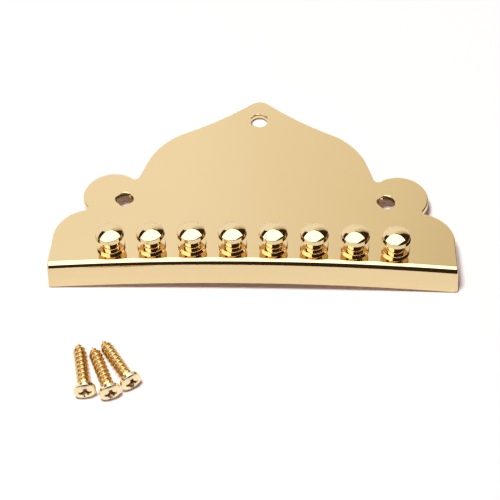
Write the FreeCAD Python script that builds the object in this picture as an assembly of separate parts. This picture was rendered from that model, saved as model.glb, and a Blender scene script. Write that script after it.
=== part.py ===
import FreeCAD, Part
import math
import os

from FreeCAD import Vector

# Mandolin tailpiece: a stamped sheet with a cloud outline, arched to the round end of
# the instrument, its front edge folded down into a lip that goes over the soundboard's
# edge. Eight riveted posts hold the string loops, and three wood screws fix the sheet.
# It lies on a table as it comes out of its bag, on the lip's two lower corners and the
# tip, with the screws loose in front of it. Millimetres, +Z up, +X to the right, the
# lip towards -Y. The origin is on the table, under the middle of the whole set.

# Sheet
plate_width = 86.3
plate_depth = 47.6
plate_thickness = 1.0
arch_radius = 473.0
fold_radius = 1.4
lip_height = 6.68
lip_corner_radius = 0.8
edge_rounding = 0.3

# Cloud outline: x follows the sheet's width, y its depth, and round stretches both
shoulder_x_share = 0.402
shoulder_y_share = 0.17324
shoulder_radius_share = 0.12161
lobe_x_share = 0.353
lobe_y_share = 0.42296
lobe_radius_share = 0.09669
low_notch_radius_share = 0.009
high_notch_radius_share = 0.016
dome_x_share = 0.104
dome_y_share = 0.5105
dome_radius_share = 0.24044
flank_lean = 19.3
sweep_radius_share = 0.98349
tip_radius_share = 0.04556

# Screw holes
screw_hole_diameter = 3.7
tip_hole_inset = 5.8
side_hole_in_share = 0.43
side_hole_down_share = 0.24

# Posts
post_count = 8
post_pitch = 8.55
post_row_inset = 5.16
collar_diameter = 6.1
collar_height = 0.62
collar_rounding = 0.12
neck_diameter = 3.6
neck_fillet = 0.25
under_head_height = 3.05
head_diameter = 6.1
head_height = 1.91
head_draft = 13.0
head_dome_radius = 5.2
head_rounding = 0.2
rivet_diameter = 2.4
rivet_clearance = 0.02
tail_diameter = 3.4
tail_edge_height = 0.15
tail_dome_height = 0.3
seat_gap = 0.01

# Wood screws
screw_length = 11.9
screw_head_diameter = 4.65
screw_head_edge = 0.85
screw_head_rise = 0.6
screw_head_rounding = 0.15
screw_neck_diameter = 2.64
screw_neck_length = 1.0
thread_diameter = 2.8
thread_depth = 0.28
thread_pitch = 1.1
thread_crest = 0.3
thread_angle = 60.0
thread_start = 1.2
thread_sink_share = 0.6
point_length = 2.1
point_thread_share = 0.8
point_flat = 0.12
recess_span = 2.95
recess_foot = 2.1
recess_arm = 0.78
recess_depth = 1.15
recess_well_diameter = 1.9
recess_well_foot = 1.1

# How the loose screws lie in front of the lip, the outer two beside the middle one
middle_screw_left = 33.0
screw_tips_ahead = 16.9
middle_screw_turn = 20.3
right_head_gap = 0.05
right_thread_gap = 0.1
right_head_back = 1.05
left_head_gap = 1.0
left_thread_gap = 0.35
left_head_back = 2.05

# How far the cutting shapes run past the sheet, and the least turn of a real edge
overrun = 2.0
seam_angle = 30.0

half_width = plate_width / 2
cloud_size = math.sqrt(plate_width * plate_depth)
arch_axis = Vector(0, 0, -arch_radius)
along_y = Vector(0, 1, 0)
upright = Vector(0, 0, 1)


def flat(x, y):
    """A point of the cloud outline, in the plane of the sheet."""
    return Vector(x, y, 0)


def mirrored(point):
    """The same point on the sheet's other half."""
    return Vector(-point.x, point.y, point.z)


def meet(centre_a, reach_a, centre_b, reach_b, side):
    """Where two circles about a and b cross, to the left of a to b if side is 1."""
    line = centre_b - centre_a
    apart = line.Length
    along = (reach_a ** 2 - reach_b ** 2 + apart ** 2) / (2 * apart)
    off = math.sqrt(reach_a ** 2 - along ** 2)
    ahead = line / apart
    left = Vector(-ahead.y, ahead.x, 0)
    return centre_a + ahead * along + left * (off * side)


def towards(start, goal, reach):
    """The point at a distance from start, on the way to goal."""
    way = goal - start
    return start + way * (reach / way.Length)


def arc_about(centre, start, end):
    """An arc of less than half a turn from start to end about a centre."""
    middle = towards(centre, (start + end) * 0.5, (start - centre).Length)
    return Part.Arc(start, middle, end).toShape()


def line(start, end):
    """A straight edge."""
    return Part.LineSegment(start, end).toShape()


def foot_on_line(point, line_point, normal):
    """The nearest point to a point on the line with that normal."""
    return point - normal * (point - line_point).dot(normal)


def half_outline():
    """The cloud's right half, edge by edge, from the lip's end to the tip."""
    shoulder = flat(plate_width * shoulder_x_share, plate_depth * shoulder_y_share)
    shoulder_radius = cloud_size * shoulder_radius_share
    lobe = flat(plate_width * lobe_x_share, plate_depth * lobe_y_share)
    lobe_radius = cloud_size * lobe_radius_share
    dome = flat(plate_width * dome_x_share, plate_depth * dome_y_share)
    dome_radius = cloud_size * dome_radius_share
    sweep_radius = cloud_size * sweep_radius_share
    tip_radius = cloud_size * tip_radius_share
    low_notch = cloud_size * low_notch_radius_share
    high_notch = cloud_size * high_notch_radius_share
    lip_end = flat(half_width, 0)
    tip = flat(0, plate_depth)
    tip_centre = tip - flat(0, tip_radius)

    side_end = meet(lip_end, tangent_reach(lip_end, shoulder, shoulder_radius),
                    shoulder, shoulder_radius, -1)
    low_fillet = meet(shoulder, shoulder_radius + low_notch,
                      lobe, lobe_radius + low_notch, -1)
    low_start = towards(shoulder, low_fillet, shoulder_radius)
    low_end = towards(lobe, low_fillet, lobe_radius)

    lean = math.radians(flank_lean)
    flank_normal = flat(math.cos(lean), math.sin(lean))
    flank_top = dome + flank_normal * dome_radius
    notch_line = flank_top + flank_normal * high_notch
    high_fillet = beside_line(lobe, lobe_radius + high_notch, notch_line, flank_normal)
    high_start = towards(lobe, high_fillet, lobe_radius)
    high_end = foot_on_line(high_fillet, flank_top, flank_normal)

    sweep = meet(dome, dome_radius + sweep_radius, tip_centre, tip_radius + sweep_radius, -1)
    sweep_start = towards(dome, sweep, dome_radius)
    sweep_end = towards(tip_centre, sweep, tip_radius)

    return [
        line(lip_end, side_end),
        arc_about(shoulder, side_end, low_start),
        arc_about(low_fillet, low_start, low_end),
        lobe_arc(lobe, low_end, high_start),
        arc_about(high_fillet, high_start, high_end),
        line(high_end, flank_top),
        arc_about(dome, flank_top, sweep_start),
        arc_about(sweep, sweep_start, sweep_end),
        arc_about(tip_centre, sweep_end, tip),
    ]


def tangent_reach(point, centre, radius):
    """How far a tangent to a circle runs from a point outside it."""
    return math.sqrt((point - centre).Length ** 2 - radius ** 2)


def beside_line(centre, reach, line_point, normal):
    """Where a circle crosses a line, at its upper crossing."""
    foot = foot_on_line(centre, line_point, normal)
    off = math.sqrt(reach ** 2 - (foot - centre).Length ** 2)
    return foot + flat(-normal.y, normal.x) * off


def lobe_arc(centre, start, end):
    """The lobe's long arc, outwards round its far side."""
    radius = (start - centre).Length
    outward = (start - centre) + (end - centre)
    if outward.x < 0:
        outward = outward * -1
    middle = centre + outward * (radius / outward.Length)
    return Part.Arc(start, middle, end).toShape()


def cloud_prism():
    """The outline as a tall prism, open to the front so that the lip stays whole."""
    right = half_outline()
    left = [edge.mirror(Vector(0, 0, 0), Vector(1, 0, 0)) for edge in right]
    corner = flat(half_width, 0)
    ahead = flat(half_width, -overrun)
    front = [
        line(corner, ahead),
        line(ahead, mirrored(ahead)),
        line(mirrored(ahead), mirrored(corner)),
    ]
    wire = Part.Wire(Part.__sortEdges__(right + left + front))
    face = Part.Face(wire)
    drop = lip_height + arch_fall(half_width) + overrun
    face.translate(upright * -drop)
    return face.extrude(upright * (drop + overrun))


def arch_fall(x):
    """How far the arched sheet falls from its middle line to a place beside it."""
    return arch_radius - math.sqrt(arch_radius ** 2 - x ** 2)


def section(y, z):
    """A point of the sheet's section, on its middle line."""
    return Vector(0, y, z)


def bent_section():
    """The section of sheet, fold and lip."""
    back = plate_depth + overrun
    bend = section(fold_radius, -fold_radius)
    outer_start = section(fold_radius, 0)
    outer_end = section(0, -fold_radius)
    inner_start = section(plate_thickness, -fold_radius)
    inner_end = section(fold_radius, -plate_thickness)
    lip_foot = section(0, -lip_height)
    lip_heel = section(plate_thickness, -lip_height)
    edges = [
        line(section(back, 0), outer_start),
        arc_about(bend, outer_start, outer_end),
        line(outer_end, lip_foot),
        line(lip_foot, lip_heel),
        line(lip_heel, inner_start),
        arc_about(bend, inner_start, inner_end),
        line(inner_end, section(back, -plate_thickness)),
        line(section(back, -plate_thickness), section(back, 0)),
    ]
    return Part.Face(Part.Wire(edges))


def round_arch(shape, arc_length):
    """Turns a piece about the arch's axis, so that it stands square to the sheet."""
    turned = shape.copy()
    turned.rotate(arch_axis, along_y, math.degrees(arc_length / arch_radius))
    return turned


def arched_blank():
    """Sheet and lip as one arched strip, wider than the part."""
    reach = math.degrees(math.asin((half_width + overrun) / arch_radius))
    face = bent_section()
    face.rotate(arch_axis, along_y, -reach)
    return face.revolve(arch_axis, along_y, 2 * reach)


def side_hole_place():
    """A side hole's place: along the arch from the middle, and back from the lip."""
    lobe_radius = cloud_size * lobe_radius_share
    across = plate_width * lobe_x_share - lobe_radius * side_hole_in_share
    back = plate_depth * lobe_y_share - lobe_radius * side_hole_down_share
    return across, back


def screw_hole_places():
    across, back = side_hole_place()
    return [(-across, back), (across, back), (0, plate_depth - tip_hole_inset)]


def post_places():
    middle = (post_count - 1) / 2
    return [(index - middle) * post_pitch for index in range(post_count)]


def hole_tool(radius, along, back):
    """A cylinder square to the sheet, right through it."""
    length = plate_thickness + 2 * overrun
    start = Vector(0, back, -plate_thickness - overrun)
    return round_arch(Part.makeCylinder(radius, length, start, upright), along)


def lip_corner_edges(shape):
    """The two short edges at the lip's lower corners."""
    found = []
    for edge in shape.Edges:
        box = edge.BoundBox
        level = box.ZLength < edge_rounding and box.XLength < edge_rounding
        outer = abs(box.Center.x) > half_width - edge_rounding
        if level and outer and box.Center.z < -lip_height:
            found.append(edge)
    return found


def depth_under_skin(point):
    """How deep a point of the plate lies under its outer side, the one that shows."""
    height = math.hypot(point.x, point.z + arch_radius) - arch_radius
    if point.y >= fold_radius:
        return -height
    if height <= -fold_radius:
        return point.y
    return fold_radius - math.hypot(fold_radius - point.y, height + fold_radius)


def is_outer_rim(shape, edge):
    """True for a sharp edge of the outer side, and not for a seam where it runs on."""
    place = edge.valueAt((edge.FirstParameter + edge.LastParameter) / 2)
    if depth_under_skin(place) > edge_rounding / 2:
        return False
    faces = shape.ancestorsOfType(edge, Part.Face)
    if len(faces) < 2:
        return False
    normals = [face.normalAt(*face.Surface.parameter(place)) for face in faces[:2]]
    return abs(normals[0].dot(normals[1])) < math.cos(math.radians(seam_angle))


def base_plate():
    """The stamped, folded and arched sheet with its rounded edges and its holes."""
    plate = arched_blank().common(cloud_prism()).Solids[0]
    plate = plate.makeFillet(lip_corner_radius, lip_corner_edges(plate))
    for along, back in screw_hole_places():
        plate = plate.cut(hole_tool(screw_hole_diameter / 2, along, back))
    rims = [edge for edge in plate.Edges if is_outer_rim(plate, edge)]
    plate = plate.makeFillet(edge_rounding, rims)
    for along in post_places():
        hole = hole_tool(rivet_diameter / 2, along, post_row_inset)
        plate = plate.cut(hole)
    return plate.Solids[0]


def turned(points_and_arcs):
    """A solid turned about the upright axis from a closed chain of edges."""
    face = Part.Face(Part.Wire(points_and_arcs))
    return face.revolve(Vector(0, 0, 0), upright, 360)


def side(radius, height):
    """A point of a turned piece's profile."""
    return Vector(radius, 0, height)


def crown(radius, bottom, top, ball, rounding, draft):
    """A head from under its widest edge, up its side that leans in by the draft, to the
    middle of its domed top. The same rounding blends the side into both ends."""
    lean = math.radians(draft)
    outward = side(math.cos(lean), math.sin(lean)) * rounding
    upward = side(-math.sin(lean), math.cos(lean))
    lower = side(radius - rounding, bottom + rounding)
    ball_centre = side(0, top - ball)
    off = lower - ball_centre
    ahead = off.dot(upward)
    climb = math.sqrt(ahead ** 2 - off.dot(off) + (ball - rounding) ** 2) - ahead
    upper = lower + upward * climb
    on_ball = towards(ball_centre, upper, ball)
    return [
        arc_about(lower, side(lower.x, bottom), lower + outward),
        line(lower + outward, upper + outward),
        arc_about(upper, upper + outward, on_ball),
        arc_about(ball_centre, on_ball, side(0, top)),
    ]


def post():
    """One riveted post on the sheet's middle line: tail, shank, collar, neck and head."""
    shank = rivet_diameter / 2 - rivet_clearance
    tail = tail_diameter / 2
    neck = neck_diameter / 2
    foot = neck + neck_fillet
    collar = collar_diameter / 2
    collar_top = collar - collar_rounding
    collar_side = collar_height - collar_rounding
    tail_top = -plate_thickness - seat_gap
    tail_edge = tail_top - tail_edge_height
    tail_end = side(0, tail_edge - tail_dome_height)
    ball = (tail ** 2 + tail_dome_height ** 2) / (2 * tail_dome_height)
    ball_centre = side(0, tail_end.z + ball)
    fillet_centre = side(foot, collar_height + neck_fillet)
    crown_start = side(head_diameter / 2 - head_rounding, under_head_height)
    edges = [
        arc_about(ball_centre, tail_end, side(tail, tail_edge)),
        line(side(tail, tail_edge), side(tail, tail_top)),
        line(side(tail, tail_top), side(shank, tail_top)),
        line(side(shank, tail_top), side(shank, 0)),
        line(side(shank, 0), side(collar, 0)),
        line(side(collar, 0), side(collar, collar_side)),
        arc_about(side(collar_top, collar_side), side(collar, collar_side),
                  side(collar_top, collar_height)),
        line(side(collar_top, collar_height), side(foot, collar_height)),
        arc_about(fillet_centre, side(foot, collar_height), side(neck, fillet_centre.z)),
        line(side(neck, fillet_centre.z), side(neck, under_head_height)),
        line(side(neck, under_head_height), crown_start),
    ]
    edges += crown(head_diameter / 2, under_head_height, under_head_height + head_height,
                   head_dome_radius, head_rounding, head_draft)
    top = edges[-1].lastVertex().Point
    solid = turned(edges + [line(top, tail_end)])
    solid.translate(along_y * post_row_inset)
    return solid


def screw_blank():
    """A screw's head and core, head up, the under side of the head at zero."""
    core = thread_diameter / 2 - thread_depth
    neck = screw_neck_diameter / 2
    tip = side(point_flat / 2, -screw_length)
    point_start = side(core, -screw_length + point_length)
    neck_foot = side(core, -screw_neck_length - thread_depth)
    neck_start = side(neck, -screw_neck_length)
    radius = screw_head_diameter / 2
    ball = (radius ** 2 + screw_head_rise ** 2) / (2 * screw_head_rise)
    edges = [
        line(side(0, -screw_length), tip),
        line(tip, point_start),
        line(point_start, neck_foot),
        line(neck_foot, neck_start),
        line(neck_start, side(neck, 0)),
        line(side(neck, 0), side(radius - screw_head_rounding, 0)),
    ]
    edges += crown(radius, 0, screw_head_edge + screw_head_rise, ball,
                   screw_head_rounding, 0)
    top = edges[-1].lastVertex().Point
    return turned(edges + [line(top, side(0, -screw_length))])


def thread_envelope():
    """The space that the thread's crest may fill: straight, then running to the point."""
    crest = thread_diameter / 2
    start = side(crest, -thread_start)
    shoulder = side(crest, -screw_length + point_length * point_thread_share)
    tip = side(point_flat / 2, -screw_length)
    core = thread_diameter / 2 - thread_depth
    return turned([
        line(side(0, -screw_length), tip),
        line(tip, shoulder),
        line(shoulder, start),
        line(start, side(core, 0)),
        line(side(core, 0), side(0, 0)),
        line(side(0, 0), side(0, -screw_length)),
    ])


def thread():
    """The right-hand thread: a ridge swept along a helix, kept inside its envelope."""
    crest = thread_diameter / 2
    root = crest - thread_depth * (1 + thread_sink_share)
    half_crest = thread_crest / 2
    half_root = half_crest + (crest - root) * math.tan(math.radians(thread_angle / 2))
    turns_length = screw_length - thread_start
    spine = Part.makeLongHelix(thread_pitch, turns_length, root)
    outline = Part.makePolygon([
        side(root, -half_root),
        side(crest, -half_crest),
        side(crest, half_crest),
        side(root, half_root),
        side(root, -half_root),
    ])
    ridge = Part.Wire(spine.Edges).makePipeShell([outline], True, True)
    ridge.translate(upright * -screw_length)
    return ridge.common(thread_envelope())


def recess():
    """The cross recess: two tapered arms and a round well."""
    crown_top = screw_head_edge + screw_head_rise
    floor = crown_top - recess_depth
    mouth = crown_top + overrun
    flare = (recess_span - recess_foot) / recess_depth / 2
    mouth_half = recess_span / 2 + flare * overrun
    arm = Part.Face(Part.makePolygon([
        Vector(-recess_foot / 2, -recess_arm / 2, floor),
        Vector(recess_foot / 2, -recess_arm / 2, floor),
        Vector(mouth_half, -recess_arm / 2, mouth),
        Vector(-mouth_half, -recess_arm / 2, mouth),
        Vector(-recess_foot / 2, -recess_arm / 2, floor),
    ])).extrude(along_y * recess_arm)
    across = arm.copy()
    across.rotate(Vector(0, 0, 0), upright, 90)
    well = Part.makeCone(recess_well_foot / 2, recess_well_diameter / 2, recess_depth,
                         Vector(0, 0, floor), upright)
    return arm.fuse([across, well])


def screw():
    """One wood screw, head up."""
    body = screw_blank().fuse(thread())
    return body.cut(recess()).Solids[0]


def rest_tilt():
    """How far the sheet leans back, resting on the lip's lower corners and its tip."""
    corner_x = half_width - lip_corner_radius
    reach = arch_radius - lip_height + lip_corner_radius
    corner_z = math.sqrt(reach ** 2 - corner_x ** 2) - arch_radius
    drop = lip_corner_radius - plate_thickness - corner_z
    return math.atan2(drop, plate_depth - plate_thickness)


def onto_table(shape):
    """Leans a piece of the sheet back as it rests, still above or below the table."""
    leaned = shape.copy()
    leaned.rotate(Vector(0, 0, 0), Vector(1, 0, 0), -math.degrees(rest_tilt()))
    return leaned


def lying(shape, turn):
    """A screw on its side, head towards the front, its point turned to the left."""
    laid = shape.copy()
    fall = (screw_head_diameter - thread_diameter) / 2
    run = screw_length - point_length
    slope = math.degrees(math.atan2(fall, run))
    laid.rotate(Vector(0, 0, 0), Vector(1, 0, 0), 90 - slope)
    laid.rotate(Vector(0, 0, 0), upright, turn)
    return laid


def beside_middle(way, at_head, at_point, back):
    """How far a screw lies beside the middle one's head, and how far it turns away."""
    taper = point_length * point_thread_share
    run = screw_length - taper - back
    return way * at_head, -back, way * math.degrees(math.atan2(at_head - at_point, run))


def screw_spots():
    """Each loose screw's place under its head, and its turn, fanned out from the tips."""
    turn = math.radians(middle_screw_turn)
    away = flat(math.sin(turn), -math.cos(turn))
    right = flat(math.cos(turn), math.sin(turn))
    middle = flat(-middle_screw_left, -screw_tips_ahead) + away * screw_length
    mixed = (screw_head_diameter + thread_diameter) / 2
    rows = [
        ("left",) + beside_middle(-1, mixed + left_head_gap,
                                  thread_diameter + left_thread_gap, left_head_back),
        ("middle", 0, 0, 0),
        ("right",) + beside_middle(1, screw_head_diameter + right_head_gap,
                                   thread_diameter + right_thread_gap, right_head_back),
    ]
    return [(name, middle + right * across + away * ahead, middle_screw_turn + splay)
            for name, across, ahead, splay in rows]


def lowest(shape):
    return shape.optimalBoundingBox(False, False).ZMin


def build():
    """Every piece by name, where it lies."""
    pieces = {}
    plate = onto_table(base_plate())
    rise = upright * -lowest(plate)
    plate.translate(rise)
    pieces["base_plate"] = plate
    for index, along in enumerate(post_places()):
        placed = onto_table(round_arch(post(), along))
        placed.translate(rise)
        pieces["hitch_post_%d" % (index + 1)] = placed
    loose = screw()
    for name, spot, turn in screw_spots():
        laid = lying(loose, turn)
        laid.translate(spot - upright * lowest(laid))
        pieces[name + "_wood_screw"] = laid
    whole = Part.makeCompound(list(pieces.values())).optimalBoundingBox(False, False)
    home = Vector(-whole.Center.x, -whole.Center.y, 0)
    for shape in pieces.values():
        shape.translate(home)
    return pieces


def main():
    os.makedirs("parts", exist_ok=True)
    for name, shape in build().items():
        shape.exportStep("parts/%s.step" % name)
        box = shape.BoundBox
        print(name, shape.isValid(), len(shape.Solids), round(shape.Volume, 3), box)


main()
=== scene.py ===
import math

import bpy
from bpy.props import FloatProperty, FloatVectorProperty, IntProperty, PointerProperty
from mathutils import Matrix, Vector
from mathutils.geometry import delaunay_2d_cdt


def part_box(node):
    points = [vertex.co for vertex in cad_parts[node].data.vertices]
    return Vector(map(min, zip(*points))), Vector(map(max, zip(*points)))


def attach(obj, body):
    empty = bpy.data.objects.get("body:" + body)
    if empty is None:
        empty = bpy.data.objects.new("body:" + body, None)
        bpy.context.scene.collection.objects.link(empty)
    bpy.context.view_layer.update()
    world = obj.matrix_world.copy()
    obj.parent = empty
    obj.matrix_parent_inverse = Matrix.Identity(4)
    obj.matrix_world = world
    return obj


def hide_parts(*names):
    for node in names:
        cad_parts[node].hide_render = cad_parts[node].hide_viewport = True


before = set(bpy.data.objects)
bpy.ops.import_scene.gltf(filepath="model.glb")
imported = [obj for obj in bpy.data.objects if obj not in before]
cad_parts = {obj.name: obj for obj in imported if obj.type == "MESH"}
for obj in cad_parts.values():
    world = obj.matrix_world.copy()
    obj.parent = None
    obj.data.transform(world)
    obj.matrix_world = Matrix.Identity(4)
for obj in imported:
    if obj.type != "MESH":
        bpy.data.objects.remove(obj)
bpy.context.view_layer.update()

bl_info = {
    "name": "Mandolin Tailpiece",
    "version": (1, 0, 0),
    "blender": (4, 5, 0),
    "location": "3D View > Sidebar > Tailpiece",
    "description": "Builds a polished cloud tailpiece, its riveted posts and its loose wood screws",
    "category": "Add Mesh",
}

MM = 0.001
TAILPIECE_BODY = "tailpiece"
SCREW_BODIES = {"left": "left_screw", "middle": "middle_screw", "right": "right_screw"}

# Two places closer than this are one, and the decimals that they are compared to
TINY = 1e-9
DECIMALS = 9

# How finely turned pieces are cut, round their axis and along their profile
POST_SEGMENTS = 96
SCREW_SEGMENTS = 72
WELL_SEGMENTS = 40
SHANK_SEGMENTS = 60
HOLE_SEGMENTS = 72
ROWS_PER_PITCH = 24
EDGE_STEPS = 8
SLIGHT_EDGE_STEPS = 6
DOME_STEPS = 14
RIM_STEPS = 7

# How dark the painted shade in the thread's grooves turns
THREAD_PAINTED_SHADE = 0.45

# How the recess's cut is cleaned and softened, and how soon its walls turn dark with painted shade
WELD_SHARE = 0.01
RIM_PARTS = 3
RIM_SEGMENTS = 2
SHARP_DEGREES = 38.0
DARK_SHARE = 0.8

# The camera's frame in millimetres, and its near and far limits in metres
FRAME_WIDTH = 36.0
NEAR_LIMIT = 0.05
FAR_LIMIT = 20.0

# Half the table's side in metres, and how many faces a card has along each side
TABLE_HALF = 4.0
PATCH_STEPS = 24

# What each card is made of, and the azimuths and elevations that it spans, in degrees
CARDS = {
    "reflector": ("shaded", (140.0, 215.0), (0.0, 39.5)),
    "reflector_side": ("shaded", (215.0, 262.0), (0.0, 29.0)),
    "reflector_head": ("white", (180.0, 212.0), (39.5, 48.0)),
    "front_card": ("dark", (-33.0, 150.0), (0.0, 82.0)),
    "gap_card": ("dark", (140.0, 262.0), (30.0, 80.0)),
    "side_card": ("dark", (262.0, 308.0), (2.0, 40.0)),
}

# The softbox's corners, right and back of the part, by its height over the table
SOFTBOX_CORNERS = ((-1.3, 0.0), (-0.6, 0.68), (0.0, 1.08), (0.55, 0.83), (1.0, 0.5),
                   (0.07, -0.37), (-0.42, -0.86), (-1.3, -0.3))

# How the reflector's shade grows to the right and upwards, and where its tones lie
SHADE_RISE = 0.62
SHADE_SCALE = 0.7
SHADE_SHIFT = 0.1
SHADE_STOPS = (0.22, 0.48, 0.74, 0.80)


def length(name, description, millimetres):
    """A length that the sidebar shows, with its default in millimetres."""
    return FloatProperty(name=name, description=description, default=millimetres * MM,
                         unit="LENGTH", precision=5, min=0.0)


def number(name, description, default):
    """A share of the sheet's size, a roughness or a brightness."""
    return FloatProperty(name=name, description=description, default=default, precision=4)


def angle(name, description, degrees):
    return FloatProperty(name=name, description=description, subtype="ANGLE",
                         default=math.radians(degrees))


def tint(name, description, colour):
    return FloatVectorProperty(name=name, description=description, subtype="COLOR",
                               default=colour, min=0.0, max=1.0)


class SheetSizes(bpy.types.PropertyGroup):
    """The stamped sheet: its plan, its arch, its folded lip and its screw holes."""

    width: length("Width", "Across the lip", 86.3)
    depth: length("Depth", "From the lip's face to the tip", 47.6)
    thickness: length("Thickness", "Of the sheet", 1.0)
    arch_radius: length("Arch radius", "Of the outer side, across the width", 473.0)
    fold_radius: length("Fold radius", "Outer radius between sheet and lip", 1.4)
    lip_height: length("Lip height", "From the outer side to the lip's edge", 6.68)
    corner_radius: length("Lip corner radius", "At the lip's lower corners", 0.8)
    rounding: length("Edge rounding", "Of the outer side's rims", 0.3)
    shoulder_x: number("Shoulder across", "Low shoulder's centre, by width", 0.402)
    shoulder_y: number("Shoulder back", "Low shoulder's centre, by depth", 0.17324)
    shoulder_radius: number("Shoulder radius", "By the cloud's size", 0.12161)
    lobe_x: number("Lobe across", "Round lobe's centre, by width", 0.353)
    lobe_y: number("Lobe back", "Round lobe's centre, by depth", 0.42296)
    lobe_radius: number("Lobe radius", "By the cloud's size", 0.09669)
    low_notch: number("Low notch radius", "Between shoulder and lobe", 0.009)
    high_notch: number("High notch radius", "Between lobe and dome", 0.016)
    dome_x: number("Dome across", "Centre of the dome's shoulder, by width", 0.104)
    dome_y: number("Dome back", "Centre of the dome's shoulder, by depth", 0.5105)
    dome_radius: number("Dome radius", "By the cloud's size", 0.24044)
    flank_lean: angle("Flank lean", "Of the dome's straight flank", 19.3)
    sweep_radius: number("Sweep radius", "Of the hollow sweep up to the tip", 0.98349)
    tip_radius: number("Tip radius", "By the cloud's size", 0.04556)
    hole: length("Screw hole", "Diameter", 3.7)
    tip_hole_inset: length("Tip hole inset", "From the tip to its centre", 5.8)
    hole_in: number("Side hole inwards", "From the lobe's centre, by its radius", 0.43)
    hole_down: number("Side hole down", "From the lobe's centre, by its radius", 0.24)


class PostSizes(bpy.types.PropertyGroup):
    """The riveted posts that hold the string loops."""

    count: IntProperty(name="Posts", description="How many stand in the row", default=8)
    pitch: length("Pitch", "From post to post, along the arch", 8.55)
    inset: length("Inset", "From the lip's face to the row", 5.16)
    collar: length("Collar", "Diameter of the disc on the sheet", 6.1)
    collar_height: length("Collar height", "Of the disc on the sheet", 0.62)
    collar_rounding: length("Collar rounding", "Of the disc's upper edge", 0.12)
    neck: length("Neck", "Diameter", 3.6)
    fillet: length("Neck fillet", "Radius where the neck meets the collar", 0.25)
    under_head: length("Under the head", "Height of the head's under side", 3.05)
    head: length("Head", "Diameter", 6.1)
    head_height: length("Head height", "From its under side to its top", 1.91)
    draft: angle("Head draft", "How far the head's side leans in", 13.0)
    dome_radius: length("Dome radius", "Of the head's domed top", 5.2)
    rounding: length("Head rounding", "Of the head's edges", 0.2)
    rivet: length("Rivet", "Diameter of the shank in the sheet", 2.36)
    tail: length("Rivet tail", "Diameter behind the sheet", 3.4)
    tail_edge: length("Tail edge", "Height of the tail's edge", 0.15)
    tail_dome: length("Tail dome", "Height of the peened end", 0.3)
    seat: length("Seat gap", "Between the tail and the sheet", 0.01)


class ScrewSizes(bpy.types.PropertyGroup):
    """The three wood screws and how they lie."""

    length: length("Length", "Under the head, to the point", 11.9)
    head: length("Head", "Diameter", 4.65)
    edge: length("Head edge", "Height of the head's side", 0.85)
    rise: length("Head rise", "Of the domed top", 0.6)
    rounding: length("Head rounding", "Of the head's edges", 0.15)
    neck: length("Neck", "Diameter of the plain neck", 2.64)
    neck_length: length("Neck length", "Under the head", 1.0)
    thread: length("Thread", "Outer diameter", 2.8)
    depth: length("Thread depth", "From crest to core", 0.28)
    pitch: length("Pitch", "From turn to turn", 1.1)
    crest: length("Crest", "Width of the ridge's top", 0.3)
    flank: angle("Flank angle", "Between the ridge's two flanks", 60.0)
    start: length("Thread start", "Under the head", 1.2)
    point: length("Point", "Length of the point's taper", 2.1)
    point_flat: length("Point end", "Diameter of the blunt end", 0.12)
    recess: length("Recess span", "Across the cross, at the head's top", 2.95)
    recess_foot: length("Recess foot", "Across the cross, at its floor", 2.1)
    recess_arm: length("Recess arm", "Width of one arm", 0.78)
    recess_depth: length("Recess depth", "From the head's top", 1.15)
    recess_well: length("Recess well", "Diameter of the middle at the top", 1.9)
    well_foot: length("Well foot", "Diameter of the middle at its floor", 1.1)
    left: length("Middle tip left", "Of the sheet's middle line", 33.0)
    ahead: length("Middle tip ahead", "Of the sheet's fold", 16.9)
    turn: angle("Middle turn", "Of the middle screw, point to the left", 20.3)
    point_thread: number("Point thread", "Share of the point with tapering thread", 0.8)
    right_head_gap: length("Right head gap", "Beside the middle head", 0.05)
    right_thread_gap: length("Right thread gap", "Beside the middle point", 0.1)
    right_back: length("Right head back", "Behind the middle head", 1.05)
    left_head_gap: length("Left head gap", "Beside the middle thread", 1.0)
    left_thread_gap: length("Left thread gap", "Beside the middle point", 0.35)
    left_back: length("Left head back", "Behind the middle head", 2.05)


class Finishes(bpy.types.PropertyGroup):
    """Colours and gloss of the metal."""

    gold: tint("Gold plate", "Polished plating of sheet and posts", (0.84, 0.65, 0.37))
    warm_gold: tint("Warm gold", "Deeper tone of the plating's clouds", (0.82, 0.62, 0.34))
    polish: number("Polish", "Roughness of the bright plating", 0.045)
    haze: number("Haze", "Roughness that the polishing haze adds", 0.035)
    screw_gold: tint("Screw gold", "Plating of the screws", (0.96, 0.66, 0.27))
    # Painted light: a paler copy of the plating, which makes the heads look brighter
    screw_painted_pale: tint("Screw head gold", "Plating where it is rubbed", (0.97, 0.79, 0.50))
    # Painted shade: the dark tone laid in the thread's grooves and the recess by their depth
    screw_painted_shade: tint("Screw dark", "Deep in the thread and the recess", (0.24, 0.07, 0.02))
    screw_polish: number("Screw polish", "Roughness of the screws", 0.12)
    screw_mottle: number("Screw mottle", "Roughness that the mottle adds", 0.12)
    screw_dull: number("Groove dullness", "Roughness that a groove adds", 0.15)
    # Painted shade in a groove: its least share, and how far the mottle varies it
    groove_painted_shade: number("Groove tone", "Share of the dark tone in a groove", 0.65)
    groove_mottle: number("Groove mottle", "How far that share varies", 0.5)


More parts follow.
